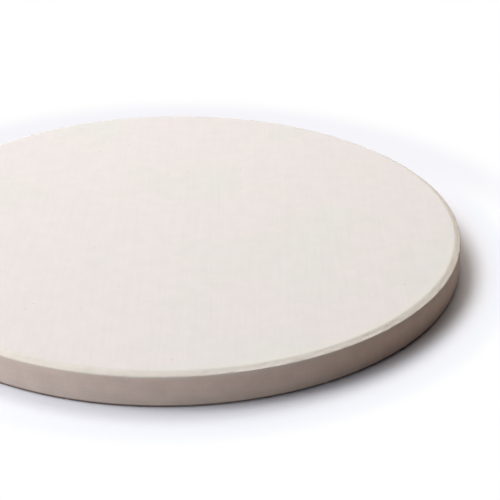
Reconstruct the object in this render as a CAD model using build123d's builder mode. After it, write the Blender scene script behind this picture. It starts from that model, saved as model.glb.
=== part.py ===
from build123d import *
import os

# A round unglazed baking stone, pressed and fired as one solid disc
# Lengths are in millimetres, the origin is the middle of the underside, and +Z points up

# The disc
stone_diameter = 330.0
stone_thickness = 19.0

# The sloping band that runs round the baking face
bevel_width = 3.6
bevel_drop = 2.0

# The softened edges, from the baking face down to the foot
face_edge_radius = 3.0
rim_corner_radius = 0.8
foot_edge_radius = 1.2

# Radii and heights that follow from the sizes above
stone_radius = stone_diameter / 2
face_radius = stone_radius - bevel_width
wall_top = stone_thickness - bevel_drop

os.makedirs("parts", exist_ok=True)

# The stone: half of its cross-section, turned once round the middle
with BuildPart() as baking_stone:
    with BuildSketch(Plane.XZ) as half_section:
        # From the middle of the underside out to the wall, up the bevel and back in
        with BuildLine():
            Polyline(
                (0, 0),
                (stone_radius, 0),
                (stone_radius, wall_top),
                (face_radius, stone_thickness),
                (0, stone_thickness),
                close=True,
            )
        make_face()

        # The edge between the flat baking face and the bevel
        face_edge = half_section.vertices().group_by(Axis.Y)[-1].sort_by(Axis.X).last
        fillet(face_edge, radius=face_edge_radius)

        # The rim corner between the bevel and the upright wall
        rim_corner = half_section.vertices().group_by(Axis.X)[-1].sort_by(Axis.Y).last
        fillet(rim_corner, radius=rim_corner_radius)

        # The foot edge, where the wall turns under to the flat that the stone rests on
        foot_edge = half_section.vertices().group_by(Axis.X)[-1].sort_by(Axis.Y).first
        fillet(foot_edge, radius=foot_edge_radius)
    revolve(axis=Axis.Z)

baking_stone.part.label = "baking_stone"
export_step(baking_stone.part, "parts/baking_stone.step")
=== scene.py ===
"""A round unglazed baking stone on a pale studio floor.

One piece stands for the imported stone: a closed shell of fired clay with sandy edges, nicks and pinholes.
Lengths are in metres, the origin is the middle of the underside, and +Z points up.
"""

import logging
import math
import random
from collections.abc import Iterable
from dataclasses import dataclass
from enum import Enum

import bmesh
import bpy
from mathutils import Matrix, Vector, noise


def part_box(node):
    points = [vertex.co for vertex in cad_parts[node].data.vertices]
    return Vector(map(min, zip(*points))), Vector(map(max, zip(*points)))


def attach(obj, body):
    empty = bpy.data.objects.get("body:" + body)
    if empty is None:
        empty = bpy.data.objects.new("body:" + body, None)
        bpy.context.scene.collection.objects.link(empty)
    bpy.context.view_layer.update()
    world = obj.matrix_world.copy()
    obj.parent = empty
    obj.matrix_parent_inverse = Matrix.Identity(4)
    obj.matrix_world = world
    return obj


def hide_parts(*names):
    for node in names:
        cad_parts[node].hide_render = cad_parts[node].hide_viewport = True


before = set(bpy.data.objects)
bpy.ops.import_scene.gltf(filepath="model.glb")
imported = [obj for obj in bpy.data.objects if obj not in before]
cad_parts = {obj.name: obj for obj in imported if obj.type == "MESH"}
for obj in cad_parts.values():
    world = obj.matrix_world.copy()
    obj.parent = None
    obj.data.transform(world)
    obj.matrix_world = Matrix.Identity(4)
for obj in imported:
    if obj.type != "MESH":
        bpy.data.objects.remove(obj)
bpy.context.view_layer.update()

log = logging.getLogger("baking_stone")

Triple = tuple[float, float, float]
Colour = Triple
Span = tuple[float, float]
Socket = bpy.types.NodeSocket
Source = Socket | float

MILLIMETRE = 0.001
WHITE: Colour = (1.0, 1.0, 1.0)

# The colour sockets of a Mix node, which share their names with its other sockets
MIX_SHARE = 0
MIX_UNDER = 6
MIX_OVER = 7
MIX_RESULT = 2


class Sum(Enum):
    """What a Math node does with its two numbers."""

    ADD = "ADD"
    TIMES = "MULTIPLY"
    LESS = "SUBTRACT"
    HIGHER_OF = "MAXIMUM"


class Lay(Enum):
    """How one colour is laid over another."""

    OVER = "MIX"
    TIMES = "MULTIPLY"


class Arris(Enum):
    """The two outer edges of the stone that get knocked in use."""

    RIM = "rim"
    FOOT = "foot"


class Tint(Enum):
    """The tints of the lamps' light."""

    NEUTRAL = (1.0, 1.0, 1.0)
    WARM = (1.07, 1.0, 0.91)
    COOL = (0.955, 1.0, 1.07)
    ICY = (0.94, 1.02, 1.11)


class NodeSheet:
    """The node tree of one finish, with a short method for each kind of node that it needs."""

    def __init__(self, tree: bpy.types.NodeTree) -> None:
        """Starts from an empty tree."""
        self.tree = tree
        self.tree.nodes.clear()

    def add(self, kind: str, **settings: object) -> bpy.types.Node:
        """Adds a node.

        Args:
            kind: the node's Blender type.
            settings: its own settings, by name.

        Returns:
            The new node.
        """
        node = self.tree.nodes.new(kind)
        for name, value in settings.items():
            setattr(node, name, value)
        return node

    def feed(self, socket: Socket, source: Source | Colour) -> None:
        """Links a source to a socket, or sets the socket to a plain value.

        Args:
            socket: the input to feed.
            source: another node's output, a number or a colour.
        """
        if isinstance(source, Socket):
            self.tree.links.new(source, socket)
        elif isinstance(source, tuple) and len(socket.default_value) == 4:
            socket.default_value = (*source, 1.0)
        else:
            socket.default_value = source

    def place(self) -> Socket:
        """Gives the point on the piece, in its own coordinates."""
        return self.add("ShaderNodeTexCoord").outputs["Object"]

    def axes(self, place: Socket) -> dict[str, Socket]:
        """Splits a point into its coordinates.

        Args:
            place: the point.

        Returns:
            The point's X, Y and Z, by name.
        """
        node = self.add("ShaderNodeSeparateXYZ")
        self.feed(node.inputs["Vector"], place)
        return {name: node.outputs[name] for name in "XYZ"}

    def away(self, place: Socket, centre: Triple) -> Socket:
        """Measures how far a point is from another.

        Args:
            place: the point.
            centre: the other point.

        Returns:
            The distance in metres.
        """
        node = self.add("ShaderNodeVectorMath", operation="DISTANCE")
        self.feed(node.inputs[0], place)
        node.inputs[1].default_value = centre
        return node.outputs["Value"]

    def scaled(self, place: Socket, lengths: Triple) -> Socket:
        """Rescales space so that one unit is the given length along each axis.

        Args:
            place: the point to rescale.
            lengths: the pattern's length along X, Y and Z, in metres.

        Returns:
            The rescaled point.
        """
        node = self.add("ShaderNodeMapping")
        self.feed(node.inputs["Vector"], place)
        node.inputs["Scale"].default_value = [1.0 / length for length in lengths]
        return node.outputs["Vector"]

    def clouds(self, place: Socket, detail: float = 2.0) -> Socket:
        """Makes soft noise.

        Args:
            place: the rescaled point, with one unit to a cloud.
            detail: how many finer noises are added to the first.

        Returns:
            The noise, from 0 to 1.
        """
        node = self.add("ShaderNodeTexNoise")
        self.feed(node.inputs["Vector"], place)
        node.inputs["Scale"].default_value = 1.0
        node.inputs["Detail"].default_value = detail
        return node.outputs["Fac"]

    def grains(self, place: Socket) -> tuple[Socket, Socket]:
        """Scatters one grain in each unit of the place.

        Args:
            place: the rescaled point.

        Returns:
            The distance to the nearest grain, and a number from 0 to 1 that is that grain's own.
        """
        node = self.add("ShaderNodeTexVoronoi")
        self.feed(node.inputs["Vector"], place)
        node.inputs["Scale"].default_value = 1.0
        own = self.add("ShaderNodeSeparateColor")
        self.feed(own.inputs["Color"], node.outputs["Color"])
        return node.outputs["Distance"], own.outputs["Red"]

    def ranged(
        self, value: Source, start: Source, end: Source, low: float = 0.0, high: float = 1.0
    ) -> Socket:
        """Turns a value's way from start to end into a smooth way from low to high.

        Args:
            value: the value to map.
            start: where the way begins.
            end: where it ends.
            low: the result at and before the start.
            high: the result at and after the end.

        Returns:
            The mapped value.
        """
        node = self.add("ShaderNodeMapRange", interpolation_type="SMOOTHSTEP")
        for name, source in (
            ("Value", value), ("From Min", start), ("From Max", end), ("To Min", low), ("To Max", high)
        ):
            self.feed(node.inputs[name], source)
        return node.outputs["Result"]

    def sum(self, kind: Sum, first: Source, second: Source) -> Socket:
        """Joins two numbers.

        Args:
            kind: how they are joined.
            first: the first number.
            second: the second number.

        Returns:
            The joined number.
        """
        node = self.add("ShaderNodeMath", operation=kind.value)
        self.feed(node.inputs[0], first)
        self.feed(node.inputs[1], second)
        return node.outputs[0]

    def lay(self, kind: Lay, share: Source, under: Source | Colour, over: Source | Colour) -> Socket:
        """Lays one colour over another.

        Args:
            kind: how it is laid.
            share: how much of it, from 0 to 1.
            under: the colour below.
            over: the colour laid on it.

        Returns:
            The colour that shows.
        """
        node = self.add("ShaderNodeMix", data_type="RGBA", blend_type=kind.value)
        self.feed(node.inputs[MIX_SHARE], share)
        self.feed(node.inputs[MIX_UNDER], under)
        self.feed(node.inputs[MIX_OVER], over)
        return node.outputs[MIX_RESULT]

    def relief(self, height: Socket, depth: float) -> Socket:
        """Turns a height into a bumped normal.

        Args:
            height: the height, where one unit is the depth.
            depth: the depth of the relief, in metres.

        Returns:
            The bumped normal.
        """
        node = self.add("ShaderNodeBump")
        node.inputs["Strength"].default_value = 1.0
        node.inputs["Distance"].default_value = depth
        self.feed(node.inputs["Height"], height)
        return node.outputs["Normal"]


@dataclass(frozen=True)
class Scatter:
    """Small round marks in the clay, at most one to a cell.

    The spacing is in metres, and the reach and the softness of a mark are shares of it.
    """

    spacing: float
    rarity: float
    reach: float
    softness: float
    tone_share: float

    def depth(self, sheet: NodeSheet, place: Socket) -> Socket:
        """Scatters the marks.

        Args:
            sheet: the finish's node tree.
            place: the point on the stone.

        Returns:
            How deep inside a mark the point is, from 0 to 1.
        """
        distance, own = sheet.grains(sheet.scaled(place, (self.spacing,) * 3))
        size = sheet.ranged(own, self.rarity, 1.0, 0.0, self.reach)
        return sheet.ranged(sheet.sum(Sum.LESS, size, distance), 0.0, self.softness)


@dataclass(frozen=True)
class FiredClay:
    """Bare fired clay: a pale ground face, a warmer band lightened as painted light, a browner wall that was
    never ground, and painted contact shade along the foot.

    Colours are linear, and lengths are in metres. A span is the part of a noise over which it acts, a swing
    is how far a noise lightens and darkens the clay, and a relief is a height in units of the relief depth.
    """

    face_rosy: Colour = (0.764, 0.706, 0.678)
    face_ashen: Colour = (0.744, 0.712, 0.669)
    # The band's own colour is warmer than the face's, and it is also lightened as painted light, for the
    # light its slope doesn't get
    band: Colour = (0.848, 0.775, 0.678)
    wall: Colour = (0.855, 0.735, 0.650)
    # Painted contact shade: a dark brown line along the foot, where the stone meets the floor
    foot: Colour = (0.270, 0.200, 0.160)
    underside: Colour = (0.700, 0.610, 0.540)
    dust: Colour = (0.930, 0.855, 0.765)
    face_dust: Colour = (0.770, 0.735, 0.655)
    speck: Colour = (0.420, 0.330, 0.270)
    pore: Colour = (0.520, 0.430, 0.370)
    roughness: float = 0.92
    specular: float = 0.25
    dust_share: float = 0.8
    # Heights where the painted contact shade along the foot starts, is full and fades out
    foot_shade_start: float = 0.05 * MILLIMETRE
    foot_shade_full: float = 0.8 * MILLIMETRE
    foot_shade_end: float = 1.7 * MILLIMETRE
    cloud_length: float = 55 * MILLIMETRE
    cloud_span: Span = (0.46, 0.76)
    mottle_length: float = 9 * MILLIMETRE
    mottle_detail: float = 4.0
    mottle_swing: float = 0.015
    wall_mottle_swing: float = 0.035
    grain_length: float = 0.7 * MILLIMETRE
    grain_detail: float = 3.0
    grain_swing: float = 0.02
    streak_width: float = 1.3 * MILLIMETRE
    streak_length: float = 45 * MILLIMETRE
    streak_swing: float = 0.012
    trim_width: float = 0.5 * MILLIMETRE
    trim_length: float = 60 * MILLIMETRE
    trim_swing: float = 0.02
    shade_span: Span = (0.25, 0.75)
    wander_span: Span = (0.3, 0.7)
    relief_depth: float = 0.05 * MILLIMETRE
    line_relief: float = 0.12
    pore_relief: float = 2.0
    pores: Scatter = Scatter(2.6 * MILLIMETRE, rarity=0.55, reach=0.13, softness=0.05, tone_share=0.35)
    specks: Scatter = Scatter(5.5 * MILLIMETRE, rarity=0.7, reach=0.07, softness=0.03, tone_share=0.45)

    def material(self, stone: "BakingStone") -> bpy.types.Material:
        """Makes the finish for a stone.

        Args:
            stone: the stone, whose levels tell the face, band, wall and underside apart.

        Returns:
            The material.
        """
        made = bpy.data.materials.new("fired_clay")
        made.use_nodes = True
        sheet = NodeSheet(made.node_tree)
        place = sheet.place()
        mottle = sheet.clouds(sheet.scaled(place, (self.mottle_length,) * 3), self.mottle_detail)
        grain = sheet.clouds(sheet.scaled(place, (self.grain_length,) * 3), self.grain_detail)
        # The grinding of the face leaves lines across it, and the trimming of the wall leaves lines round it
        streak_lengths = (self.streak_width, self.streak_length, self.streak_length)
        trim_lengths = (self.trim_length, self.trim_length, self.trim_width)
        streak = sheet.clouds(sheet.scaled(place, streak_lengths))
        trim = sheet.clouds(sheet.scaled(place, trim_lengths))
        on_wall, on_band, on_face = self._borders(sheet, place, mottle, stone)

        colour = self._zones(sheet, place, on_wall, on_band, on_face)
        colour = self._shaded(sheet, colour, ((mottle, self.mottle_swing), (grain, self.grain_swing)))
        trimmed = self._shaded(sheet, colour, ((trim, self.trim_swing), (mottle, self.wall_mottle_swing)))
        ground = self._shaded(sheet, colour, ((streak, self.streak_swing),))
        colour = sheet.lay(Lay.OVER, on_face, trimmed, ground)
        pore_depth = self.pores.depth(sheet, place)
        for marks, depth, tone in (
            (self.specks, self.specks.depth(sheet, place), self.speck),
            (self.pores, pore_depth, self.pore),
        ):
            colour = sheet.lay(Lay.OVER, sheet.sum(Sum.TIMES, depth, marks.tone_share), colour, tone)
        worn = sheet.add("ShaderNodeAttribute", attribute_name=stone.wear_layer).outputs["Fac"]
        dust = sheet.lay(Lay.OVER, on_face, self.dust, self.face_dust)
        colour = sheet.lay(Lay.OVER, sheet.sum(Sum.TIMES, worn, self.dust_share), colour, dust)

        lines = sheet.lay(Lay.OVER, on_face, trim, streak)
        height = sheet.sum(Sum.ADD, grain, sheet.sum(Sum.TIMES, lines, self.line_relief))
        height = sheet.sum(Sum.LESS, height, sheet.sum(Sum.TIMES, pore_depth, self.pore_relief))

        shader = sheet.add("ShaderNodeBsdfPrincipled")
        shader.inputs["Roughness"].default_value = self.roughness
        shader.inputs["Specular IOR Level"].default_value = self.specular
        sheet.feed(shader.inputs["Base Color"], colour)
        sheet.feed(shader.inputs["Normal"], sheet.relief(height, self.relief_depth))
        output = sheet.add("ShaderNodeOutputMaterial")
        sheet.feed(output.inputs["Surface"], shader.outputs["BSDF"])
        return made

    def _borders(
        self, sheet: NodeSheet, place: Socket, mottle: Socket, stone: "BakingStone"
    ) -> tuple[Socket, Socket, Socket]:
        """Tells the stone's zones apart by height, with borders that wander a little.

        Args:
            sheet: the finish's node tree.
            place: the point on the stone.
            mottle: the noise that lets the borders wander.
            stone: the stone, for its sizes.

        Returns:
            Three numbers from 0 to 1: on the wall or above it, on the band or above it, and on the face.
        """
        height = sheet.axes(place)["Z"]
        reach = stone.border_wander
        level = sheet.sum(Sum.ADD, height, sheet.ranged(mottle, *self.wander_span, -reach, reach))
        on_wall = sheet.ranged(level, 0.0, stone.foot_rounding)
        on_band = sheet.ranged(level, stone.wall_top - reach, stone.wall_top + reach)
        face_start, face_full = stone.thickness - 2 * reach, stone.thickness - stone.face_unevenness
        return on_wall, on_band, sheet.ranged(height, face_start, face_full)

    def _zones(
        self, sheet: NodeSheet, place: Socket, on_wall: Socket, on_band: Socket, on_face: Socket
    ) -> Socket:
        """Colours the underside, wall, band and face, with painted contact shade along the foot and painted
        light on the band.

        Args:
            sheet: the finish's node tree.
            place: the point on the stone.
            on_wall: 0 on the underside and 1 from the wall up.
            on_band: 0 below the rim corner and 1 above it.
            on_face: 1 on the baking face.

        Returns:
            The zones' colour.
        """
        height = sheet.axes(place)["Z"]
        clouds = sheet.clouds(sheet.scaled(place, (self.cloud_length,) * 3))
        face = sheet.lay(Lay.OVER, sheet.ranged(clouds, *self.cloud_span), self.face_rosy, self.face_ashen)
        # Painted contact shade along the foot, darkest just above the underside
        foot_shade_share = sheet.sum(
            Sum.TIMES,
            sheet.ranged(height, 0.0, self.foot_shade_start),
            sheet.ranged(height, self.foot_shade_full, self.foot_shade_end, 1.0, 0.0),
        )
        colour = sheet.lay(Lay.OVER, on_wall, self.underside, self.wall)
        # The foot's colour paints contact shade, and the band's colour is lightened as painted light
        for share, zone in ((foot_shade_share, self.foot), (on_band, self.band), (on_face, face)):
            colour = sheet.lay(Lay.OVER, share, colour, zone)
        return colour

    def _shaded(self, sheet: NodeSheet, colour: Socket, shades: Iterable[tuple[Socket, float]]) -> Socket:
        """Makes a colour a little lighter and darker by some noises.

        Args:
            sheet: the finish's node tree.
            colour: the colour to shade.
            shades: each noise with its swing.

        Returns:
            The shaded colour.
        """
        for cloud, swing in shades:
            shade = sheet.ranged(cloud, *self.shade_span, 1.0 - swing, 1.0 + swing)
            grey = sheet.add("ShaderNodeCombineColor")
            for name in ("Red", "Green", "Blue"):
                sheet.feed(grey.inputs[name], shade)
            colour = sheet.lay(Lay.TIMES, 1.0, colour, grey.outputs["Color"])
        return colour


def cloud_at(point: Vector, length: float) -> float:
    """Gives soft noise from 0 to 1 at a point, with clouds of the given length."""
    return 0.5 + 0.5 * noise.noise(point / length)


@dataclass
class BakingStone:
    """The stone as one closed shell: underside, foot, wall, sloping band and baking face.

    Lengths are in metres, and angles in degrees. The chafed stretch of the rim has dusty crumbs, a fuller
    band and a rim corner that leans in.
    """

    radius: float
    thickness: float
    finish: FiredClay
    band_width: float = 3.6 * MILLIMETRE
    band_drop: float = 2.0 * MILLIMETRE
    face_edge_rounding: float = 3.0 * MILLIMETRE
    rim_rounding: float = 0.8 * MILLIMETRE
    foot_rounding: float = 1.2 * MILLIMETRE
    rounding_segments: int = 5
    sharp_angle: float = 42.0
    wedge_steps: int = 40
    doublings: int = 5
    face_margin: float = 8.0 * MILLIMETRE
    underside_margin: float = 4.0 * MILLIMETRE
    ring_spacing: float = 1.1 * MILLIMETRE
    band_ring_spacing: float = 0.5 * MILLIMETRE
    face_cell: float = 1.6 * MILLIMETRE
    underside_cell: float = 5.0 * MILLIMETRE
    halving_share: float = 0.7
    weld: float = 0.01 * MILLIMETRE
    face_unevenness: float = 0.05 * MILLIMETRE
    face_swell_length: float = 38 * MILLIMETRE
    crumb_depth: float = 0.09 * MILLIMETRE
    crumb_length: float = 1.7 * MILLIMETRE
    crumb_reach: float = 1.4 * MILLIMETRE
    chafe_angle: float = -48.0
    chafe_spread: float = 50.0
    chafe_length: float = 14 * MILLIMETRE
    chafe_floor: float = 0.6
    stray_chafe: float = 0.35
    chafe_depth: float = 0.25 * MILLIMETRE
    chafe_crumb_depth: float = 0.38 * MILLIMETRE
    chafe_reach: float = 2.3 * MILLIMETRE
    band_fullness: float = 0.32 * MILLIMETRE
    strip_share: float = 0.12
    dusting_width: float = 6.0 * MILLIMETRE
    dust_gain: float = 2.0
    border_wander: float = 0.18 * MILLIMETRE
    nicks: int = 34
    nick_length: float = 2.6 * MILLIMETRE
    nick_depth: float = 0.28 * MILLIMETRE
    smallest_nick: float = 0.35
    face_pits: int = 70
    wall_pits: int = 36
    pit_radius: float = 0.42 * MILLIMETRE
    pit_inset: float = 0.14 * MILLIMETRE
    smallest_pit: float = 0.45
    pit_room_share: float = 0.8
    pit_floor_share: float = 0.6
    pit_depth_share: float = 0.7
    flat_normal: float = 0.99
    upright_normal: float = 0.05
    seed: int = 19
    wear_layer: str = "worn"

    @property
    def wall_top(self) -> float:
        """The height of the corner between the wall and the band."""
        return self.thickness - self.band_drop

    @property
    def face_radius(self) -> float:
        """The radius of the corner between the band and the face."""
        return self.radius - self.band_width

    def build(self) -> bpy.types.Object:
        """Makes the stone's object, attaches it to the root body and hides the imported part.

        Returns:
            The finished piece.
        """
        chance = random.Random(self.seed)
        mesh = self._turned_rim()
        self._pave(mesh, self.thickness, self.face_cell)
        self._pave(mesh, 0.0, self.underside_cell)
        bmesh.ops.recalc_face_normals(mesh, faces=mesh.faces)
        self._wear_down(mesh, chance)
        self._sink_pits(mesh, chance)
        data = bpy.data.meshes.new("baking_stone_shell")
        mesh.to_mesh(data)
        mesh.free()
        data.shade_smooth()
        data.set_sharp_from_angle(angle=math.radians(self.sharp_angle))
        data.materials.append(self.finish.material(self))
        piece = bpy.data.objects.new("fired_stone", data)
        bpy.context.scene.collection.objects.link(piece)
        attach(piece, "root")
        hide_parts("baking_stone")
        return piece

    def _turned_rim(self) -> bmesh.types.BMesh:
        """Turns the rounded half-section round the middle.

        Returns:
            A mesh open at the face and at the underside.
        """
        mesh = bmesh.new()
        section = [
            (self.radius - self.underside_margin, 0.0),
            (self.radius, 0.0),
            (self.radius, self.wall_top),
            (self.face_radius, self.thickness),
            (self.radius - self.face_margin, self.thickness),
        ]
        points = [mesh.verts.new((across, 0.0, up)) for across, up in section]
        for pair in zip(points, points[1:]):
            mesh.edges.new(pair)
        slope = math.atan2(self.band_drop, self.band_width)
        # How far the half-section turns at each corner
        turns = (math.pi / 2, math.pi / 2 - slope, slope)
        roundings = (self.foot_rounding, self.rim_rounding, self.face_edge_rounding)
        for point, rounding, turn in zip(points[1:-1], roundings, turns):
            bmesh.ops.bevel(
                mesh,
                geom=[point],
                offset=rounding * math.tan(turn / 2),
                offset_type="OFFSET",
                segments=self.rounding_segments,
                profile=0.5,
                affect="VERTICES",
                material=-1,
            )
        for edge in mesh.edges[:]:
            run = edge.verts[1].co - edge.verts[0].co
            slanting = min(abs(run.x), abs(run.z)) > self.weld
            cuts = int(run.length / (self.band_ring_spacing if slanting else self.ring_spacing))
            if cuts:
                bmesh.ops.subdivide_edges(mesh, edges=[edge], cuts=cuts)
        return self._turned(mesh)

    def _turned(self, mesh: bmesh.types.BMesh) -> bmesh.types.BMesh:
        """Spins a wedge from a half-section, and doubles it until it closes.

        Args:
            mesh: the half-section.

        Returns:
            The same mesh, turned and welded.
        """
        turn = math.tau / 2**self.doublings
        bmesh.ops.spin(
            mesh,
            geom=mesh.verts[:] + mesh.edges[:],
            cent=(0, 0, 0),
            axis=(0, 0, 1),
            angle=turn,
            steps=self.wedge_steps,
        )
        for doubling in range(self.doublings):
            copied = bmesh.ops.duplicate(mesh, geom=mesh.verts[:] + mesh.edges[:] + mesh.faces[:])
            verts = [part for part in copied["geom"] if isinstance(part, bmesh.types.BMVert)]
            turned = Matrix.Rotation(turn * 2**doubling, 3, "Z")
            bmesh.ops.rotate(mesh, verts=verts, cent=(0, 0, 0), matrix=turned)
        bmesh.ops.remove_doubles(mesh, verts=mesh.verts, dist=self.weld)
        return mesh

    def _pave(self, mesh: bmesh.types.BMesh, level: float, cell: float) -> None:
        """Closes an open ring with rings of cells, which halve in number on the way in.

        Args:
            mesh: the stone.
            level: the height of the open ring.
            cell: the size of a cell.
        """
        ring = self._open_ring(mesh, level)
        radius = ring[0].verts[0].co.xy.length
        while radius > cell * 2:
            width = math.tau * radius / len(ring)
            grown = bmesh.ops.extrude_edge_only(mesh, edges=ring)["geom"]
            ring = [part for part in grown if isinstance(part, bmesh.types.BMEdge) and part.is_boundary]
            if width < cell * self.halving_share:
                ring.sort(key=lambda edge: math.atan2(*(edge.verts[0].co + edge.verts[1].co).xy))
                bmesh.ops.collapse(mesh, edges=ring[::2])
                ring = self._open_ring(mesh, level)
            # A dictionary keeps the order, so that each run makes the same mesh
            verts = list(dict.fromkeys(vert for edge in ring for vert in edge.verts))
            narrower = (radius - cell) / verts[0].co.xy.length
            bmesh.ops.scale(mesh, vec=(narrower, narrower, 1), verts=verts)
            radius -= cell
        bmesh.ops.contextual_create(mesh, geom=ring)

    def _open_ring(self, mesh: bmesh.types.BMesh, level: float) -> list[bmesh.types.BMEdge]:
        """Finds the edges round the open hole at a height."""
        return [e for e in mesh.edges if e.is_boundary and abs(e.verts[0].co.z - level) < self.weld]

    def _wear_down(self, mesh: bmesh.types.BMesh, chance: random.Random) -> None:
        """Wears the whole stone, and then dents its outer edges here and there.

        Args:
            mesh: the stone.
            chance: the source of random numbers.
        """
        mesh.normal_update()
        worn = mesh.verts.layers.float.new(self.wear_layer)
        face_edge = Vector((self.face_radius, self.thickness))
        edges = {
            Arris.RIM: Vector((self.radius, self.wall_top)),
            Arris.FOOT: Vector((self.radius, 0.0)),
        }
        near_edge: dict[Arris, list[bmesh.types.BMVert]] = {arris: [] for arris in Arris}
        for vert in mesh.verts:
            spot = Vector((vert.co.xy.length, vert.co.z))
            near = min((spot - corner).length for corner in (edges[Arris.RIM], face_edge))
            self._wear(vert, spot, near, worn)
            for arris, corner in edges.items():
                if (spot - corner).length < self.nick_length and spot.y > self.weld:
                    near_edge[arris].append(vert)
        for _ in range(self.nicks):
            arris = chance.choice((Arris.RIM, Arris.RIM, Arris.FOOT))
            self._nick(near_edge[arris], edges[arris], chance, worn)

    def _wear(
        self, vert: bmesh.types.BMVert, spot: Vector, near: float, worn: bmesh.types.BMLayerItem
    ) -> None:
        """Wears one point: crumbs along the edges, a swelling face, and the chafed stretch of the rim.

        Args:
            vert: the point.
            spot: its radius and height.
            near: how far it is from the nearer edge of the band.
            worn: the layer that holds how worn each point is.
        """
        nearness = max(0.0, 1.0 - near / self.crumb_reach)
        crumb = cloud_at(vert.co, self.crumb_length)
        wear = self._chafing(vert.co)
        filled, leaning = self._worn_shape(spot)
        chafed = wear * min(1.0, max(self.dust_gain * filled, leaning))
        depth = (self.crumb_depth * nearness + self.chafe_crumb_depth * chafed) * crumb**2
        if spot.y > self.thickness - self.weld:
            depth += self.face_unevenness * cloud_at(vert.co, self.face_swell_length)
        vert.co -= vert.normal * depth
        outwards = Vector((vert.co.x, vert.co.y, 0.0)).normalized()
        vert.co -= outwards * self.chafe_depth * wear * leaning
        vert.co.z += self.band_fullness * wear * filled
        vert[worn] = max(nearness * crumb, chafed, wear * self._dusting(spot, crumb))

    def _worn_shape(self, spot: Vector) -> tuple[float, float]:
        """Says how a chafed rim differs from a crisp one at a point of the section.

        Args:
            spot: the point's radius and height.

        Returns:
            How much fuller the band is there, and how much further the rim leans in, both from 0 to 1.
        """
        across = (self.radius - spot.x) / self.band_width
        if spot.y <= self.wall_top:
            return 0.0, max(0.0, 1.0 - (self.wall_top - spot.y) / self.chafe_reach)
        filled = max(0.0, min(across / self.strip_share, (1.0 - across) / (1.0 - self.strip_share)))
        return filled, max(0.0, 1.0 - across / self.strip_share)

    def _dusting(self, spot: Vector, crumb: float) -> float:
        """Says how dusty the face is beside the band, in ragged patches.

        Args:
            spot: the point's radius and height.
            crumb: the noise that makes the patches ragged.

        Returns:
            The dustiness, from 0 to 1.
        """
        inwards = (self.face_radius - spot.x) / self.dusting_width
        if spot.y < self.wall_top or not 0.0 <= inwards < 1.0:
            return 0.0
        return min(1.0, self.dust_gain * crumb * (1.0 - inwards))

    def _chafing(self, point: Vector) -> float:
        """Says how worn the rim is at a point: most along one stretch, and in stray patches all round.

        Args:
            point: the point on the stone.

        Returns:
            The wear, from 0 to 1.
        """
        away = abs(math.degrees(math.atan2(point.y, point.x)) - self.chafe_angle) / self.chafe_spread
        stretch = max(0.0, 1.0 - away**2)
        patches = cloud_at(point, self.chafe_length)
        return min(1.0, stretch * (self.chafe_floor + patches) + self.stray_chafe * patches**3)

    def _nick(
        self,
        verts: list[bmesh.types.BMVert],
        corner: Vector,
        chance: random.Random,
        worn: bmesh.types.BMLayerItem,
    ) -> None:
        """Dents one place on an edge of the stone.

        Args:
            verts: the points that lie near that edge.
            corner: the edge's radius and height.
            chance: the source of random numbers.
            worn: the layer that holds how worn each point is.
        """
        angle = chance.uniform(0.0, math.tau)
        size = chance.uniform(self.smallest_nick, 1.0)
        reach = self.nick_length * size
        middle = Vector((corner.x * math.cos(angle), corner.x * math.sin(angle), corner.y))
        for vert in verts:
            away = (vert.co - middle).length
            if away < reach:
                share = (1.0 - (away / reach) ** 2) ** 2
                vert.co -= vert.normal * self.nick_depth * size * share
                vert[worn] = max(vert[worn], share)

    def _sink_pits(self, mesh: bmesh.types.BMesh, chance: random.Random) -> None:
        """Sinks small round pinholes into the face and the wall.

        Args:
            mesh: the stone.
            chance: the source of random numbers.
        """
        mesh.normal_update()
        quads = [face for face in mesh.faces if len(face.verts) == 4]
        on_face = [face for face in quads if face.normal.z > self.flat_normal and self._is_roomy(face)]
        on_wall = [face for face in quads if self._is_on_wall(face)]
        for found in (on_face, on_wall):
            found.sort(key=lambda face: tuple(face.calc_center_median()))
        chosen: list[bmesh.types.BMFace] = []
        taken: set[bmesh.types.BMVert] = set()
        for face in chance.sample(on_face, self.face_pits) + chance.sample(on_wall, self.wall_pits):
            if taken.isdisjoint(face.verts):
                chosen.append(face)
                taken.update(face.verts)
        # Each chosen cell gets a border, and its middle becomes a round hole with a narrower floor
        room = {face: min(edge.calc_length() for edge in face.edges) / 2 for face in chosen}
        bmesh.ops.inset_individual(mesh, faces=chosen, thickness=self.pit_inset)
        rims = list(dict.fromkeys(edge for face in chosen for edge in face.edges))
        bmesh.ops.bisect_edges(mesh, edges=rims, cuts=1)
        holes = []
        for face in chosen:
            middle, normal = face.calc_center_median(), face.normal.copy()
            radius = min(self.pit_radius, room[face] * self.pit_room_share)
            radius *= chance.uniform(self.smallest_pit, 1.0)
            for vert in face.verts:
                ray = vert.co - middle
                vert.co = middle + (ray - normal * ray.dot(normal)).normalized() * radius
            holes.append((middle, normal, radius))
        floors = bmesh.ops.extrude_discrete_faces(mesh, faces=chosen)["faces"]
        for floor, (middle, normal, radius) in zip(floors, holes):
            sunk = middle - normal * radius * self.pit_depth_share
            for vert in floor.verts:
                vert.co = sunk + (vert.co - middle) * self.pit_floor_share

    def _is_roomy(self, face: bmesh.types.BMFace) -> bool:
        """Says whether a face cell is wide enough for a pinhole."""
        return min(edge.calc_length() for edge in face.edges) > self.pit_radius * 2

    def _is_on_wall(self, face: bmesh.types.BMFace) -> bool:
        """Says whether a face cell is upright and clear of the wall's edges."""
        clear = self.foot_rounding < face.calc_center_median().z < self.wall_top - self.foot_rounding
        return clear and abs(face.normal.z) < self.upright_normal


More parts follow.
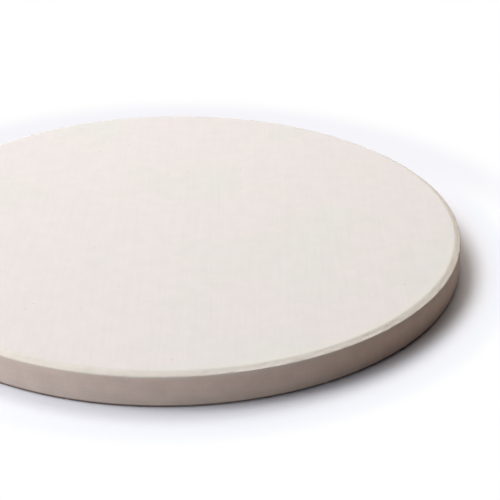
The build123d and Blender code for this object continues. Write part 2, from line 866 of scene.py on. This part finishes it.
def seen_by_eye(sheet: NodeSheet) -> Socket:
    """Tells what is seen directly, in a gloss or through glass from light that falls on the stone.

    Args:
        sheet: the node tree that asks.

    Returns:
        1 for what is seen, and 0 for light on the stone.
    """
    path = sheet.add("ShaderNodeLightPath")
    either = sheet.sum(Sum.HIGHER_OF, path.outputs["Is Camera Ray"], path.outputs["Is Glossy Ray"])
    return sheet.sum(Sum.HIGHER_OF, either, path.outputs["Is Transmission Ray"])


@dataclass
class StudioFloor:
    """A matt pale floor that keeps the stone's shadow and is white further out.

    Where the floor whitens and where its painted shadow fades are shares of the stone's radius.
    """

    stone_radius: float
    level: float
    half_width: float = 4.0
    hair: float = 0.02 * MILLIMETRE
    shown: Colour = (0.980, 0.965, 1.0)
    bounced: Colour = (0.495, 0.410, 0.380)
    # Painted shadow round the stone, tinting the white darker and bluish, behind it and in front
    painted_shadow_behind: Colour = (0.915, 0.91, 0.955)
    painted_shadow_front: Colour = (0.895, 0.925, 0.970)
    shadow_middle: Triple = (2.5 * MILLIMETRE, 0.0, 0.0)
    whitening: Span = (1.0, 1.232)
    behind: Span = (0.2, 0.8)
    painted_shadow_behind_fade: Span = (1.27, 1.48)
    painted_shadow_front_fade: Span = (1.13, 1.21)

    def build(self) -> bpy.types.Object:
        """Makes the floor.

        Returns:
            The floor's object.
        """
        mesh = bmesh.new()
        bmesh.ops.create_grid(mesh, x_segments=1, y_segments=1, size=self.half_width)
        bmesh.ops.translate(mesh, vec=(0, 0, self.level - self.hair), verts=mesh.verts)
        data = bpy.data.meshes.new("studio_floor")
        mesh.to_mesh(data)
        mesh.free()
        data.materials.append(self._material())
        floor = bpy.data.objects.new("studio_floor", data)
        bpy.context.scene.collection.objects.link(floor)
        return floor

    def _material(self) -> bpy.types.Material:
        """Makes the floor's finish, which is brighter to the eye than to the stone.

        Returns:
            The material.
        """
        made = bpy.data.materials.new("pale_floor")
        made.use_nodes = True
        sheet = NodeSheet(made.node_tree)
        place = sheet.place()
        away = sheet.away(place, self.shadow_middle)
        seen = seen_by_eye(sheet)
        behind = sheet.ranged(sheet.axes(place)["Y"], *self._lengths(self.behind))
        white_share = sheet.sum(Sum.HIGHER_OF, sheet.ranged(away, *self._lengths(self.whitening)), behind)
        # Painted shadow: near the stone the white is tinted darker and bluish, and the tint reaches further
        # out behind it
        tint = WHITE
        for share, colour, fade in (
            (1.0, self.painted_shadow_front, self.painted_shadow_front_fade),
            (behind, self.painted_shadow_behind, self.painted_shadow_behind_fade),
        ):
            near = sheet.ranged(away, *self._lengths(fade), 1.0, 0.0)
            tint = sheet.lay(Lay.OVER, sheet.sum(Sum.TIMES, near, share), tint, colour)
        matt = sheet.add("ShaderNodeBsdfDiffuse")
        sheet.feed(matt.inputs["Color"], sheet.lay(Lay.OVER, seen, self.bounced, self.shown))
        white = sheet.add("ShaderNodeEmission")
        sheet.feed(white.inputs["Color"], tint)
        mixed = sheet.add("ShaderNodeMixShader")
        sheet.feed(mixed.inputs[0], sheet.sum(Sum.TIMES, white_share, seen))
        sheet.feed(mixed.inputs[1], matt.outputs["BSDF"])
        sheet.feed(mixed.inputs[2], white.outputs["Emission"])
        output = sheet.add("ShaderNodeOutputMaterial")
        sheet.feed(output.inputs["Surface"], mixed.outputs["Shader"])
        return made

    def _lengths(self, shares: Span) -> Span:
        """Turns two shares of the stone's radius into lengths."""
        return shares[0] * self.stone_radius, shares[1] * self.stone_radius


@dataclass(frozen=True)
class SoftLamp:
    """A round softbox that points at the stone, with its angles in degrees."""

    name: str
    azimuth: float
    elevation: float
    power: float
    tint: Tint = Tint.NEUTRAL
    distance: float = 3.0
    width: float = 1.5

    def build(self) -> bpy.types.Object:
        """Makes the lamp.

        Returns:
            The lamp's object.
        """
        light = bpy.data.lights.new(self.name, "AREA")
        light.shape = "DISK"
        light.size = self.width
        light.energy = self.power
        light.color = self.tint.value
        lamp = bpy.data.objects.new(self.name, light)
        around, up = math.radians(self.azimuth), math.radians(self.elevation)
        towards = Vector((math.cos(up) * math.cos(around), math.cos(up) * math.sin(around), math.sin(up)))
        lamp.location = towards * self.distance
        lamp.rotation_euler = towards.to_track_quat("Z", "Y").to_euler()
        lamp.visible_camera = False
        bpy.context.scene.collection.objects.link(lamp)
        return lamp


class Studio:
    """The soft lamps round the stone and the white beyond the floor."""

    lamps = (
        SoftLamp("back", azimuth=90, elevation=45, power=25.0, tint=Tint.WARM),
        SoftLamp("back_right", azimuth=60, elevation=60, power=9.2, tint=Tint.WARM),
        SoftLamp("back_left", azimuth=120, elevation=45, power=30.0),
        SoftLamp("high_back_left", azimuth=150, elevation=60, power=18.0),
        SoftLamp("left", azimuth=180, elevation=45, power=26.5, tint=Tint.COOL),
        SoftLamp("high_left", azimuth=180, elevation=60, power=11.4, tint=Tint.COOL),
        SoftLamp("front_left", azimuth=210, elevation=45, power=9.2, tint=Tint.COOL),
        SoftLamp("low_front_left", azimuth=225, elevation=12, power=19.6, tint=Tint.ICY),
    )

    def build(self) -> None:
        """Makes the lamps and the world."""
        for lamp in self.lamps:
            lamp.build()
            log.info("lamp %s", lamp.name)
        world = bpy.data.worlds.new("white_surround")
        world.use_nodes = True
        sheet = NodeSheet(world.node_tree)
        background = sheet.add("ShaderNodeBackground")
        sheet.feed(background.inputs["Color"], WHITE)
        sheet.feed(background.inputs["Strength"], seen_by_eye(sheet))
        output = sheet.add("ShaderNodeOutputWorld")
        sheet.feed(output.inputs["Surface"], background.outputs["Background"])
        bpy.context.scene.world = world


@dataclass(frozen=True)
class PictureCamera:
    """The camera that took the picture, as fitted to the stone's outline, with its angles in degrees."""

    focal_pixels: float = 1586.5
    image_side: float = 500.0
    sensor: float = 36.0
    distance: float = 0.9271
    elevation: float = 27.292
    roll: float = 0.278
    aim: Triple = (44.3 * MILLIMETRE, 3.8 * MILLIMETRE, 0.0)
    clip_factor: float = 100.0

    def build(self) -> bpy.types.Object:
        """Makes the camera and lets the scene use it.

        Returns:
            The camera's object.
        """
        up_angle, roll = math.radians(self.elevation), math.radians(self.roll)
        back = Vector((0.0, -math.cos(up_angle), math.sin(up_angle)))
        level_right = Vector((1.0, 0.0, 0.0))
        level_up = back.cross(level_right)
        right = level_right * math.cos(roll) + level_up * math.sin(roll)
        up = level_up * math.cos(roll) - level_right * math.sin(roll)
        data = bpy.data.cameras.new("picture_camera")
        data.sensor_width = self.sensor
        data.lens = self.focal_pixels * self.sensor / self.image_side
        data.clip_start = self.distance / self.clip_factor
        data.clip_end = self.distance * self.clip_factor
        camera = bpy.data.objects.new("picture_camera", data)
        turned = Matrix((right, up, back)).transposed().to_4x4()
        camera.matrix_world = Matrix.Translation(Vector(self.aim) + back * self.distance) @ turned
        bpy.context.scene.collection.objects.link(camera)
        bpy.context.scene.camera = camera
        return camera


def main() -> None:
    """Builds the picture: camera, stone, floor and lamps."""
    logging.basicConfig(level=logging.INFO, format="%(name)s: %(message)s")
    bpy.context.scene.view_settings.view_transform = "Standard"
    PictureCamera().build()
    low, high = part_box("baking_stone")
    radius = min(high.x, high.y, -low.x, -low.y)
    stone = BakingStone(radius=radius, thickness=high.z - low.z, finish=FiredClay())
    piece = stone.build()
    log.info("piece %s: %d faces", piece.name, len(piece.data.polygons))
    StudioFloor(stone_radius=radius, level=low.z).build()
    log.info("stage studio_floor")
    Studio().build()


if __name__ == "__main__":
    main()
